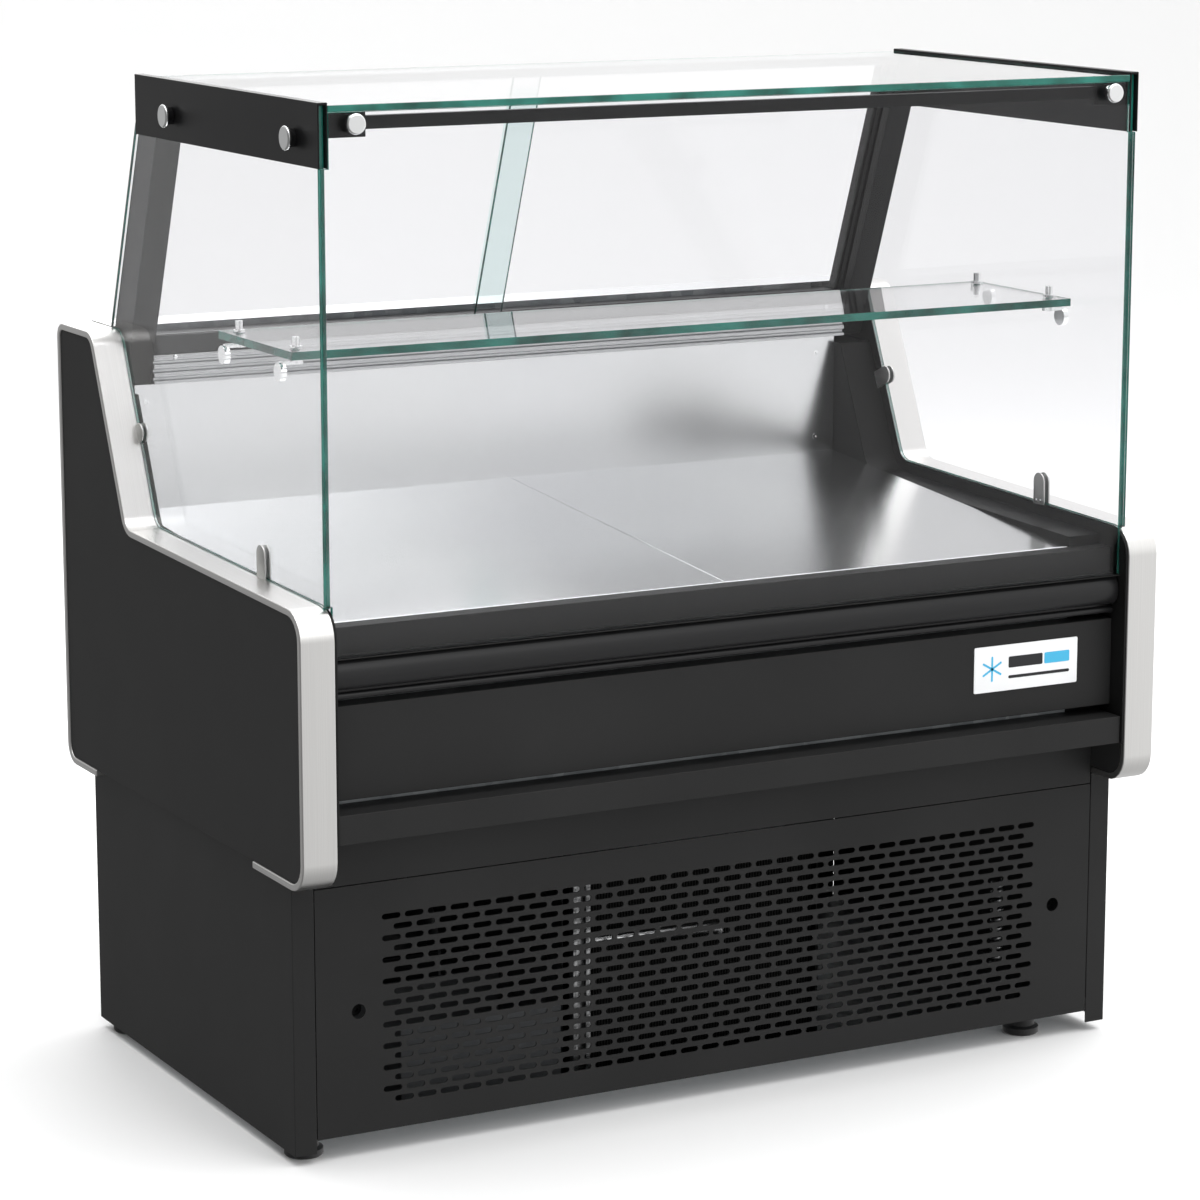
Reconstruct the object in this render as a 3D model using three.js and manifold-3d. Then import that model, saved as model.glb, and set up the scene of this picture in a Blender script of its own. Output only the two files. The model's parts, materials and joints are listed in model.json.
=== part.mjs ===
// Refrigerated deli case: a serve-over counter with a square glass canopy, built as separate pieces.
// Units are millimetres, +X is the customer's right, +Y is towards the server, +Z is up.
// Depths are first written from the front of the edge strips, then the whole case is centred in Y.

import * as THREE from 'three';
import { mergeVertices } from 'three/addons/utils/BufferGeometryUtils.js';
import Module from 'manifold-3d';

const wasm = await Module();
wasm.setup();

// ---- driving dimensions ----
const WIDTH = 1250;
const DEPTH = 800;
const GAP = 0.3; // between touching pieces
const HALF = WIDTH / 2;

// end panels, seen from the side as (depth, height) corners with their radii
const END = {
  bottom: 368, frontTop: 717, kneeDepth: 562, kneeTop: 731, shoulderDepth: 672, shoulderTop: 977,
  frontRadius: 38, kneeRadius: 26, shoulderRadius: 30, rearRadius: 20,
};
const STRIP = { width: 46, thickness: 9, frontReturn: 157, rearReturn: 693 };
const INNER = HALF - STRIP.width; // inner edge of the edge strips

const BASE = {
  half: 609, front: 74, back: 741, bottom: 13.5, top: 376.7, sheet: 2, flange: 30,
  notchTop: 367.7, floor: 32, panelBottom: 30.5, panelTop: 352.7, railTop: 423.5,
};
const GRILLE = { half: 488, bottom: 66, top: 311, columns: 8, rows: 7, bar: 14 };
const MACHINE_FLOOR = 34.9; // the condensing unit stands here, just over the base floor sheet
const FOOT = { padRadius: 25, padHeight: 10, collarRadius: 19, stemRadius: 6, stemTop: 62 };
const FOOT_PLACES = {
  foot_front_left: [-578, 119], foot_front_right: [502, 119],
  foot_rear_left: [-578, 704], foot_rear_right: [502, 704],
};

const WELL = { left: -561.5, right: 525, front: 95, rear: 700, floor: 430, frontTop: 670.2 };
const DECK = { rearTop: 734, rearDepth: 669.5, frontDepth: 66, slope: 0.075, rim: 18, sheet: 2, seam: -5 };
const LEDGE_DROP = 17; // the inner side ledges lie this far under the edge strips
const BACK_WALL = { depth: 670, bottom: 690, rest: 714.4, top: 902.7, sheet: 2 };

const POST = {
  inner: 537, outer: 572.3, bottom: 903, top: 1308, slope: 0.38, refHeight: 1155, front: 578, depth: 62,
};
const DOOR = {
  thickness: 5.3, channel: 8, edgeDepth: 8, bottom: 957, top: 1303,
  frontLine: 22, rearLine: 39, leftEnd: -10, rightEnd: -60, reach: 545,
};
const TRACK = { bottom: 942.3, top: 968, front: 664, back: 721.5, grooveFloor: 955 };

const GLASS = { top: 1317, outer: 583, side: 8, roof: 8, front: 6, frontDepth: 16, frontBottom: 654 };
const CHANNEL = { bottom: 1243, top: 1320.5, sheet: 2, rear: 594, outer: 585.5, inner: 572.7 };
const SHELF = { half: 567, front: 133, back: 362, top: 1012, thickness: 10 };
const CLAMP = { studX: 550, frontDepth: 160, rearDepth: 335, discHeight: 985 };

// ---- materials ----
const finish = (color, roughness, metalness) =>
  new THREE.MeshStandardMaterial({ color, roughness, metalness });
const blackSteel = finish(0x242424, 0.5, 0.4);
const blackPlastic = finish(0x1b1b1b, 0.45, 0.0);
const aluminium = finish(0xc9cac8, 0.35, 1.0);
const stainless = finish(0xb9bcbd, 0.3, 1.0);
const chrome = finish(0xe4e6e8, 0.12, 1.0);
const clearGlass = new THREE.MeshStandardMaterial({
  color: 0xdff1ec, roughness: 0.03, transparent: true, opacity: 0.3,
});
const castIron = finish(0x2b2d30, 0.55, 0.3);
const copperFins = finish(0xa8a29a, 0.4, 0.9);
const galvanised = finish(0x9da2a5, 0.45, 0.9);

// ---- helpers: closed shapes, booleans and placing ----
function solidOf(geometry) {
  const bare = geometry.clone();
  bare.deleteAttribute('normal');
  bare.deleteAttribute('uv');
  const merged = mergeVertices(bare, 1e-4);
  const vertProperties = new Float32Array(merged.attributes.position.array);
  const triVerts = new Uint32Array(merged.index.array);
  return new wasm.Manifold(new wasm.Mesh({ numProp: 3, vertProperties, triVerts }));
}

function geometryOf(solid) {
  const mesh = solid.getMesh();
  const geometry = new THREE.BufferGeometry();
  geometry.setAttribute('position', new THREE.BufferAttribute(new Float32Array(mesh.vertProperties), 3));
  geometry.setIndex(new THREE.BufferAttribute(new Uint32Array(mesh.triVerts), 1));
  geometry.computeVertexNormals();
  return geometry;
}

const cut = (body, ...tools) =>
  geometryOf(tools.reduce((left, tool) => left.subtract(solidOf(tool)), solidOf(body)));
const join = (first, ...others) =>
  geometryOf(others.reduce((sum, other) => sum.add(solidOf(other)), solidOf(first)));

function box(x0, x1, y0, y1, z0, z1) {
  const geometry = new THREE.BoxGeometry(x1 - x0, y1 - y0, z1 - z0);
  return geometry.translate((x0 + x1) / 2, (y0 + y1) / 2, (z0 + z1) / 2);
}

const shapeOf = (points) => new THREE.Shape(points.map(([u, v]) => new THREE.Vector2(u, v)));
const extrude = (shape, length, curveSegments = 8) =>
  new THREE.ExtrudeGeometry(shape, { depth: length, bevelEnabled: false, curveSegments });

// a (depth, height) outline drawn out along X
function alongX(shape, x0, x1, curveSegments) {
  const turn = new THREE.Matrix4().makeBasis(
    new THREE.Vector3(0, 1, 0), new THREE.Vector3(0, 0, 1), new THREE.Vector3(1, 0, 0));
  return extrude(shape, x1 - x0, curveSegments).applyMatrix4(turn).translate(x0, 0, 0);
}

// an (x, height) outline drawn out along Y
const alongY = (shape, y0, y1, curveSegments) =>
  extrude(shape, y1 - y0, curveSegments).rotateX(Math.PI / 2).translate(0, y1, 0);

// an (x, depth) outline drawn out along Z
const alongZ = (shape, z0, z1, curveSegments) => extrude(shape, z1 - z0, curveSegments).translate(0, 0, z0);

// an (x, depth) outline drawn up along the slant of the rear frame
function alongSlant(shape, z0, z1) {
  const lean = new THREE.Matrix4().set(
    1, 0, 0, 0,
    0, 1, -POST.slope, POST.front + POST.slope * POST.refHeight,
    0, 0, 1, 0,
    0, 0, 0, 1);
  return alongZ(shape, z0, z1).applyMatrix4(lean);
}

const slantDepth = (height) => POST.front - POST.slope * (height - POST.refHeight);

function lathe(profile, segments = 24) {
  const points = profile.map(([radius, height]) => new THREE.Vector2(radius, height));
  return new THREE.LatheGeometry(points, segments); // about +Y
}

// polygon with rounded corners: each corner is [depth, height, radius]
function roundedOutline(corners, arcSteps = 6) {
  const points = [];
  corners.forEach(([u, v, radius], index) => {
    const before = corners[(index + corners.length - 1) % corners.length];
    const after = corners[(index + 1) % corners.length];
    if (!radius) {
      points.push([u, v]);
      return;
    }
    const inDirection = new THREE.Vector2(before[0] - u, before[1] - v).normalize();
    const outDirection = new THREE.Vector2(after[0] - u, after[1] - v).normalize();
    const halfAngle = inDirection.angleTo(outDirection) / 2;
    const halfTurn = Math.PI / 2 - halfAngle;
    const bisector = inDirection.clone().add(outDirection).normalize();
    const centre = new THREE.Vector2(u, v).addScaledVector(bisector, radius / Math.sin(halfAngle));
    const side = Math.sign(inDirection.x * outDirection.y - inDirection.y * outDirection.x);
    const towardsCorner = bisector.clone().negate();
    for (let step = 0; step <= arcSteps; step += 1) {
      const turn = side * halfTurn * (2 * step / arcSteps - 1);
      const spoke = towardsCorner.clone().rotateAround(new THREE.Vector2(), -turn);
      points.push([centre.x + spoke.x * radius, centre.y + spoke.y * radius]);
    }
  });
  return points;
}

// straight polygon moved inwards by the same distance on every side
function insetCorners(corners, distance) {
  return corners.map(([u, v, radius], index) => {
    const before = corners[(index + corners.length - 1) % corners.length];
    const after = corners[(index + 1) % corners.length];
    const first = new THREE.Vector2(u - before[0], v - before[1]).normalize();
    const second = new THREE.Vector2(after[0] - u, after[1] - v).normalize();
    const firstNormal = new THREE.Vector2(-first.y, first.x);
    const secondNormal = new THREE.Vector2(-second.y, second.x);
    const mitre = firstNormal.clone().add(secondNormal);
    const scale = distance / (1 + firstNormal.dot(secondNormal));
    const convex = first.x * second.y - first.y * second.x > 0;
    const newRadius = radius ? Math.max(radius + (convex ? -distance : distance), 1) : 0;
    return [u + mitre.x * scale, v + mitre.y * scale, newRadius];
  });
}

// anticlockwise in (depth, height), starting at the lower front corner
const END_CORNERS = [
  [0, END.bottom, END.frontRadius],
  [DEPTH, END.bottom, END.rearRadius + 8],
  [DEPTH, END.shoulderTop, END.rearRadius],
  [END.shoulderDepth, END.shoulderTop, END.shoulderRadius],
  [END.kneeDepth, END.kneeTop, END.kneeRadius],
  [0, END.frontTop, END.frontRadius],
];
const endOutline = (inset) => roundedOutline(insetCorners(END_CORNERS, inset));
const deckTop = (depth) => DECK.rearTop - DECK.slope * (DECK.rearDepth - depth);

const deliCase = new THREE.Group();
const fromFront = new THREE.Group();
fromFront.position.y = -DEPTH / 2;
deliCase.add(fromFront);

function piece(name, geometry, material) {
  const mesh = new THREE.Mesh(geometry, material);
  mesh.name = name;
  fromFront.add(mesh);
  return mesh;
}

const SIDES = [['left', -1], ['right', 1]];
// a span between two distances from the centre line, on one side of it
const span = (side, near, far) => (side > 0 ? [near, far] : [-far, -near]);

// ---- base cabinet: folded sheet sides, back, floor, grille and front rail ----
SIDES.forEach(([label, side]) => {
  const x = (distance) => side * distance;
  const { half, front, back, sheet, flange } = BASE;
  const section = [
    [x(half), front], [x(half), back], [x(half - flange), back], [x(half - flange), back - sheet],
    [x(half - sheet), back - sheet], [x(half - sheet), front + sheet],
    [x(half - flange), front + sheet], [x(half - flange), front],
  ];
  const wall = alongZ(shapeOf(section), BASE.bottom, BASE.top);
  const lipSpans = [[front - 10, STRIP.frontReturn + 0.5], [STRIP.rearReturn - 0.5, back + 10]];
  const underStrip = lipSpans.map(([y0, y1]) =>
    box(...span(side, INNER - 20, HALF), y0, y1, BASE.notchTop, BASE.top + 10));
  piece(`base_side_${label}`, cut(wall, ...underStrip), blackSteel);
});

const baseInner = BASE.half - BASE.flange - 1;
const backPanel = box(-baseInner, baseInner, BASE.back - BASE.sheet, BASE.back, BASE.bottom + 4, 368.7);
const backVents = [0, 1, 2, 3, 4, 5].map((row) => {
  const bottom = 100 + row * 32;
  return box(190, 490, BASE.back - 10, BASE.back + 10, bottom, bottom + 12);
});
piece('base_back', cut(backPanel, ...backVents), blackSteel);

function footHole([x, depth]) {
  return new THREE.CylinderGeometry(FOOT.stemRadius + 0.5, FOOT.stemRadius + 0.5, 20, 16)
    .rotateX(Math.PI / 2).translate(x, depth, BASE.floor + 1);
}
const floorSheet = box(-BASE.half + 2.4, BASE.half - 2.4, BASE.front + 3, BASE.back - 2.4,
  BASE.floor, BASE.floor + 2.6);
piece('base_floor', cut(floorSheet, ...Object.values(FOOT_PLACES).map(footHole)), galvanised);

const grillePlate = box(
  -baseInner, baseInner, BASE.front + 0.5, BASE.front + 2.5, BASE.panelBottom, BASE.panelTop);
const cellWidth = (2 * GRILLE.half + GRILLE.bar) / GRILLE.columns;
const cellHeight = (GRILLE.top - GRILLE.bottom + GRILLE.bar) / GRILLE.rows;
const grilleCells = [];
for (let row = 0; row < GRILLE.rows; row += 1) {
  for (let column = 0; column < GRILLE.columns; column += 1) {
    const left = -GRILLE.half + column * cellWidth;
    const bottom = GRILLE.bottom + row * cellHeight;
    grilleCells.push(box(left, left + cellWidth - GRILLE.bar, BASE.front - 10, BASE.front + 10,
      bottom, bottom + cellHeight - GRILLE.bar));
  }
}
const panelBolts = [-520, 520].map((x) =>
  new THREE.CylinderGeometry(9.5, 9.5, 20, 20).translate(x, BASE.front, 190));
piece('grille_panel', cut(grillePlate, ...grilleCells, ...panelBolts), blackSteel);

const railSection = [
  [BASE.front + 0.5, BASE.panelTop + 1], [BASE.front + 2.5, BASE.panelTop + 1],
  [BASE.front + 2.5, BASE.railTop],
  [BASE.front + 0.5, BASE.railTop],
];
piece('base_front_rail', alongX(shapeOf(railSection), -baseInner, baseInner), blackSteel);

Object.entries(FOOT_PLACES).forEach(([name, [x, depth]]) => {
  const { padRadius, padHeight, collarRadius, stemRadius, stemTop } = FOOT;
  const profile = [
    [0, 0], [padRadius - 2, 0], [padRadius, 2.5], [padRadius, padHeight], [collarRadius, padHeight + 2],
    [collarRadius, BASE.floor - GAP], [stemRadius, BASE.floor - GAP], [stemRadius, stemTop], [0, stemTop],
  ];
  const foot = piece(name, lathe(profile), blackPlastic);
  foot.rotation.x = Math.PI / 2;
  foot.position.set(x, depth, 0);
});

// ---- end panels, their edge strips and the insulated body between them ----
SIDES.forEach(([label, side]) => {
  const strip = cut(
    alongX(shapeOf(endOutline(0)), ...span(side, INNER, HALF)),
    alongX(shapeOf(endOutline(STRIP.thickness)), ...span(side, INNER - 5, HALF + 5)),
    box(...span(side, INNER - 5, HALF + 5), STRIP.frontReturn, STRIP.rearReturn, END.bottom - 5, END.bottom + 30));
  piece(`edge_strip_${label}`, strip, aluminium);
  const panel = alongX(shapeOf(endOutline(STRIP.thickness + GAP)), ...span(side, INNER + GAP, HALF - 1.5));
  piece(`end_panel_${label}`, panel, blackSteel);
});

// inner side walls: a thin facing up to the edge strip, and a lower ledge beside the deck
function innerSide(side, reach) {
  const facing = alongX(shapeOf(endOutline(1.2)), ...span(side, 575.3, INNER - GAP));
  const core = alongX(shapeOf(endOutline(LEDGE_DROP)), ...span(side, reach, 576));
  const away = span(side, reach - 10, HALF);
  const frontPieces = box(...span(side, reach - 10, 575.3), -10, 65, 300, 1000);
  const behindRail = box(...away, -10, 78, 300, BASE.railTop + 1);
  const aboveLedge = box(...away, -10, DEPTH + 10, 893, 1100);
  const rearEnd = box(...span(side, reach - 10, 575.3), 790, DEPTH + 10, 300, 1100);
  const facingTop = box(...span(side, 575.3, INNER), -10, DEPTH + 10, 893, 1100);
  const facingAbove = geometryOf(solidOf(facing).intersect(solidOf(facingTop)));
  const lower = cut(join(facing, core), frontPieces, behindRail, aboveLedge, rearEnd);
  return join(lower, facingAbove);
}
piece('side_liner_left', innerSide(-1, -WELL.left + GAP), blackPlastic);
piece('side_duct_right', innerSide(1, WELL.right + GAP), blackPlastic);

const bodySection = [
  [80, 371], [789.5, 371], [789.5, 974.5], [738, 974.5], [738, 902.5], [WELL.rear, 902.5],
  [WELL.rear, WELL.floor], [WELL.front, WELL.floor], [WELL.front, WELL.frontTop], [62, WELL.frontTop],
  [62, 424.5], [80, 424.5],
];
const switchPocket = box(364, 396, 778, 800, 862, 888);
piece('insulated_body', cut(alongX(shapeOf(bodySection), WELL.left, WELL.right), switchPocket), galvanised);

// ---- customer's side: sill, bumper, front panel and lower lip ----
const frontHalf = 575;
const sillTop = 688;
const sillSection = [
  [14, 652.4], [41, 652.4], [41, sillTop - 3], [61.5, sillTop - 3],
  [61.5, WELL.frontTop + 0.5], [64.5, WELL.frontTop + 0.5],
  [64.5, sillTop], [38, sillTop], [38, 653.7], [14, 653.7],
];
piece('sill', alongX(shapeOf(sillSection), -frontHalf, frontHalf), blackSteel);

const bumperOutline = new THREE.Shape();
bumperOutline.moveTo(36.5, 600);
bumperOutline.lineTo(36.5, 652);
bumperOutline.lineTo(27, 652);
bumperOutline.absellipse(27, 632.5, 12, 19.5, Math.PI / 2, 1.5 * Math.PI, false, 0);
bumperOutline.lineTo(33, 613);
bumperOutline.lineTo(33, 609);
bumperOutline.absarc(31, 604.5, 4.5, Math.PI / 2, 1.5 * Math.PI, false);
bumperOutline.closePath();
piece('bumper_rail', alongX(bumperOutline, -frontHalf + 1, frontHalf - 1, 10), blackPlastic);

// a sheet folded back at the top and bottom
function foldedPanel(front, back, bottom, top, sheet) {
  return shapeOf([
    [front, bottom], [back, bottom], [back, bottom + sheet], [front + sheet, bottom + sheet],
    [front + sheet, top - sheet], [back, top - sheet], [back, top], [front, top],
  ]);
}
piece('front_panel', alongX(foldedPanel(30, 61.5, 474, 592, 2), -frontHalf, frontHalf), blackSteel);
piece('lower_lip', alongX(foldedPanel(5, 61.5, 425, 462, 2), -frontHalf, frontHalf), blackSteel);

// ---- deck pans: they lift straight out ----
function deckPan(x0, x1) {
  const { rearDepth, frontDepth, rim, sheet } = DECK;
  const section = (front, back, drop, thickness) => shapeOf([
    [front, deckTop(front) - drop - thickness], [back, deckTop(back) - drop - thickness],
    [back, deckTop(back) - drop], [front, deckTop(front) - drop],
  ]);
  const block = alongX(section(frontDepth, rearDepth, 0, rim), x0, x1);
  const hollow = alongX(section(frontDepth + sheet, rearDepth - sheet, sheet, rim), x0 + sheet, x1 - sheet);
  return cut(block, hollow);
}
piece('deck_pan_left', deckPan(WELL.left + 0.5, DECK.seam - 0.4), stainless);
piece('deck_pan_right', deckPan(DECK.seam + 0.4, WELL.right - 0.5), stainless);

// ---- server's side: back wall, door tracks, ledge, outer panel and controls ----
const wallSection = shapeOf([
  [BACK_WALL.depth, BACK_WALL.bottom], [BACK_WALL.depth + BACK_WALL.sheet, BACK_WALL.bottom],
  [BACK_WALL.depth + BACK_WALL.sheet, BACK_WALL.top], [BACK_WALL.depth, BACK_WALL.top],
  [BACK_WALL.depth, BACK_WALL.rest], [BACK_WALL.depth - 15, BACK_WALL.rest],
  [BACK_WALL.depth - 15, BACK_WALL.rest - BACK_WALL.sheet],
  [BACK_WALL.depth, BACK_WALL.rest - BACK_WALL.sheet],
]);
piece('back_wall', alongX(wallSection, WELL.left + GAP, WELL.right - GAP), stainless);

// extrusion with long grooves in its face, carrying the door track
const railBottom = BACK_WALL.top + GAP;
const railTop = TRACK.bottom - GAP;
const supportPoints = [[699.5, railBottom], [723.5, railBottom], [723.5, railTop], [661, railTop]];
for (let groove = 0; groove < 3; groove += 1) {
  const upper = railTop - 7 - groove * 11;
  supportPoints.push([661, upper], [666, upper - 1.5], [666, upper - 4.5], [661, upper - 6]);
}
supportPoints.push([661, railBottom]);
piece('track_support', alongX(shapeOf(supportPoints), -POST.inner + 1, POST.inner - 1), aluminium);

// two grooves follow the slant of the doors
function trackBlock(x0, x1, front, back, bottom, top, grooveBottom, grooveTop) {
  const block = box(x0, x1, front, back, bottom, top);
  const grooves = [DOOR.frontLine, DOOR.rearLine].map((line) => alongSlant(
    shapeOf([[x0 - 5, line - DOOR.channel / 2], [x1 + 5, line - DOOR.channel / 2],
      [x1 + 5, line + DOOR.channel / 2], [x0 - 5, line + DOOR.channel / 2]]),
    grooveBottom, grooveTop));
  return cut(block, ...grooves);
}
piece('door_track_bottom', trackBlock(-POST.inner + 1, POST.inner - 1, TRACK.front, TRACK.back,
  TRACK.bottom, TRACK.top, TRACK.grooveFloor, TRACK.top + 20), blackPlastic);
piece('door_track_top', trackBlock(
  -POST.inner + 1, POST.inner - 1, slantDepth(1300) + 4, slantDepth(1300) + 58,
  1296, POST.top, 1280, DOOR.top + 2), aluminium);

SIDES.forEach(([label, side]) => {
  const x = (distance) => side * distance;
  const groove = POST.inner + DOOR.edgeDepth + 1.5;
  const section = [[x(POST.outer), 0], [x(POST.outer), POST.depth], [x(POST.inner), POST.depth]];
  [DOOR.rearLine, DOOR.frontLine].forEach((line) => {
    section.push([x(POST.inner), line + DOOR.channel / 2], [x(groove), line + DOOR.channel / 2],
      [x(groove), line - DOOR.channel / 2], [x(POST.inner), line - DOOR.channel / 2]);
  });
  section.push([x(POST.inner), 0]);
  piece(`rear_post_${label}`, alongSlant(shapeOf(section), POST.bottom, POST.top), blackSteel);
});

const ledgeSection = [
  [724.5, 975], [795, 975], [795, 945], [797, 945], [797, 977], [724.5, 977],
];
piece('rear_ledge', alongX(shapeOf(ledgeSection), -frontHalf, frontHalf), stainless);

const rearPanel = box(-frontHalf, frontHalf, 790.2, 792, 372, 974.5);
const switchHole = box(366, 394, 780, 800, 864, 886);
piece('rear_panel', cut(rearPanel, switchHole), blackSteel);
const controllerFrame = box(230, 330, 792.3, 796.5, 855, 895);
piece('controller', join(controllerFrame, box(240, 300, 796, 798.5, 862, 888)), blackPlastic);

// rocker on its own cross pin, in a cut-out of the rear panel
const rockerOutline = shapeOf([
  [786.5, 867.5], [793.5, 866.5], [795.2, 870], [793.6, 875], [797.6, 883.5], [786.5, 882.5],
]);
piece('rocker_switch', alongX(rockerOutline, 367.5, 392.5), blackPlastic);

// ---- sliding doors: the left one runs in the rear groove, the right one in the front groove ----
function doorPlate(x0, x1, line) {
  const half = DOOR.thickness / 2;
  const pane = shapeOf([[x0, line - half], [x1, line - half], [x1, line + half], [x0, line + half]]);
  return alongSlant(pane, DOOR.bottom, DOOR.top);
}
piece('door_left', doorPlate(-DOOR.reach, DOOR.leftEnd, DOOR.rearLine), clearGlass);
piece('door_right', doorPlate(DOOR.rightEnd, DOOR.reach, DOOR.frontLine), clearGlass);

// ---- canopy: roof, front and side glass, black side channels, header bar and point fixings ----
const roofBottom = GLASS.top - GLASS.roof;
const roof = box(-CHANNEL.inner + GAP, CHANNEL.inner - GAP, GLASS.frontDepth, 588, roofBottom, GLASS.top);
piece('top_glass', roof, clearGlass);

const FIXING = {
  frontX: 541, frontHeight: 1295, depths: [86, 470], sideHeight: 1275, studRadius: 5, capRadius: 12.5,
};
const noseHalf = CHANNEL.inner - GAP;
const kneeHalf = 575;
const frontOutline = shapeOf([
  [-kneeHalf, GLASS.frontBottom], [kneeHalf, GLASS.frontBottom], [kneeHalf, END.frontTop + 1],
  [GLASS.outer, END.frontTop + 1], [GLASS.outer, CHANNEL.bottom - GAP], [noseHalf, CHANNEL.bottom - GAP],
  [noseHalf, roofBottom - GAP], [-noseHalf, roofBottom - GAP], [-noseHalf, CHANNEL.bottom - GAP],
  [-GLASS.outer, CHANNEL.bottom - GAP], [-GLASS.outer, END.frontTop + 1], [-kneeHalf, END.frontTop + 1],
]);
[-1, 1].forEach((side) => {
  const hole = new THREE.Path();
  hole.absarc(side * FIXING.frontX, FIXING.frontHeight, FIXING.studRadius + GAP, 0, 2 * Math.PI, true);
  frontOutline.holes.push(hole);
});
piece('front_glass', alongY(frontOutline, GLASS.frontDepth, GLASS.frontDepth + GLASS.front, 5), clearGlass);

const sideGlassFront = GLASS.frontDepth + GLASS.front + 0.5;
const glassRear = (height) => slantDepth(height) + POST.depth;
SIDES.forEach(([label, side]) => {
  const rough = shapeOf([
    [sideGlassFront, 600], [glassRear(990) - 20, 600], [glassRear(END.shoulderTop), END.shoulderTop - 2],
    [glassRear(GLASS.top), GLASS.top], [sideGlassFront, GLASS.top],
  ]);
  const sideX = span(side, GLASS.outer - GLASS.side, GLASS.outer);
  const blank = alongX(rough, ...sideX);
  const underneath = alongX(shapeOf(endOutline(-GAP)), ...span(side, GLASS.outer - 30, GLASS.outer + 30));
  piece(`side_glass_${label}`, cut(blank, underneath), clearGlass);
});

SIDES.forEach(([label, side]) => {
  const x = (distance) => side * distance;
  const { bottom, top, sheet, rear, outer, inner } = CHANNEL;
  const section = shapeOf([
    [x(outer), bottom], [x(outer), top], [x(inner), top], [x(inner), bottom], [x(inner + sheet), bottom],
    [x(inner + sheet), GLASS.top + GAP], [x(outer - sheet), GLASS.top + GAP], [x(outer - sheet), bottom],
  ]);
  piece(`side_channel_${label}`, alongY(section, GLASS.frontDepth - 0.5, rear), blackSteel);

  const turnOut = side > 0 ? -Math.PI / 2 : Math.PI / 2;
  FIXING.depths.forEach((depth, index) => {
    const stud = lathe(
      [[0, 0], [11, 0], [11, 8.5], [15, 8.5], [15, 11.5], [13.5, 13], [0, 13]]).rotateZ(turnOut);
    piece(`side_fixing_${index ? 'rear' : 'front'}_${label}`,
      stud.translate(x(outer + GAP), depth, FIXING.sideHeight), chrome);
  });

  const front = GLASS.frontDepth;
  const fixing = lathe([[0, -8], [FIXING.studRadius, -8], [FIXING.studRadius, GAP], [10, GAP], [10, 10],
    [FIXING.capRadius, 10], [FIXING.capRadius, 12.5], [FIXING.capRadius - 1.5, 14], [0, 14]]);
  fixing.rotateX(Math.PI).translate(x(FIXING.frontX), front, FIXING.frontHeight);
  piece(`front_fixing_${label}`, fixing, chrome);
});

const headerHalf = CHANNEL.inner - 1;
const headerBar = box(-headerHalf, headerHalf, 25, 37, 1287, 1303);
const headerEnds = [-1, 1].map((side) => box(...span(side, 520, headerHalf), 25, 37, 1278, 1308));
piece('header_bar', join(headerBar, ...headerEnds), blackSteel);

// ---- glass shelf on four clamps ----
const shelfBottom = SHELF.top - SHELF.thickness;
const shelfHoles = [];
[CLAMP.frontDepth, CLAMP.rearDepth].forEach((depth) => {
  [-1, 1].forEach((side) => shelfHoles.push(
    new THREE.CylinderGeometry(4.5, 4.5, 40, 12).rotateX(Math.PI / 2)
      .translate(side * CLAMP.studX, depth, SHELF.top)));
});
const shelfPane = box(-SHELF.half, SHELF.half, SHELF.front, SHELF.back, shelfBottom, SHELF.top);
piece('shelf', cut(shelfPane, ...shelfHoles), clearGlass);

[['front', CLAMP.frontDepth], ['rear', CLAMP.rearDepth]].forEach(([row, depth]) => {
  SIDES.forEach(([label, side]) => {
    const x = (distance) => side * distance;
    const studOutline = [
      [0, -8], [9, -8], [9, -GAP], [4, -GAP], [4, 10.6], [8, 10.6], [8, 14], [5, 14], [5, 25], [0, 25],
    ];
    const stud = lathe(studOutline, 12)
      .rotateX(Math.PI / 2).translate(x(CLAMP.studX), depth, shelfBottom);
    const arm = box(...span(side, CLAMP.studX - 4, GLASS.outer - GLASS.side - 5), depth - 6, depth + 6,
      shelfBottom - 8, shelfBottom - 4);
    const glassInner = GLASS.outer - GLASS.side;
    const drop = box(...span(side, glassInner - 8, glassInner - 5), depth - 6, depth + 6,
      CLAMP.discHeight, shelfBottom - 4);
    const disc = new THREE.CylinderGeometry(12, 12, 7.5, 20).rotateZ(Math.PI / 2)
      .translate(x(GLASS.outer - GLASS.side - 4.05), depth, CLAMP.discHeight);
    piece(`shelf_clamp_${row}_${label}`, join(stud, arm, drop, disc), chrome);
  });
});

// ---- condensing unit in the base ----
const compressorCentre = [-340, 430];
const shell = lathe([[0, 0], [78, 0], [92, 14], [95, 60], [95, 120], [86, 165], [52, 190], [0, 196]], 24)
  .rotateX(Math.PI / 2).translate(...compressorCentre, 42);
const [compressorX, compressorY] = compressorCentre;
const soleplate = box(compressorX - 110, compressorX + 110, compressorY - 85, compressorY + 85,
  MACHINE_FLOOR, 46);
const terminalBox = box(
  compressorX - 45, compressorX + 45, compressorY - 118, compressorY - 70, 95, 175);
piece('compressor', join(shell, soleplate, terminalBox), castIron);

const COIL = { left: -185, right: 165, front: 112, back: 160, bottom: 50, top: 318 };
const coilBlock = box(COIL.left, COIL.right, COIL.front, COIL.back, COIL.bottom, COIL.top);
const coilEnds = [COIL.left, COIL.right - 4].map((left) =>
  box(left, left + 4, COIL.front - 8, COIL.back + 8, MACHINE_FLOOR, COIL.top + 8));
piece('condenser_coil', join(coilBlock, ...coilEnds), copperFins);

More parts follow.
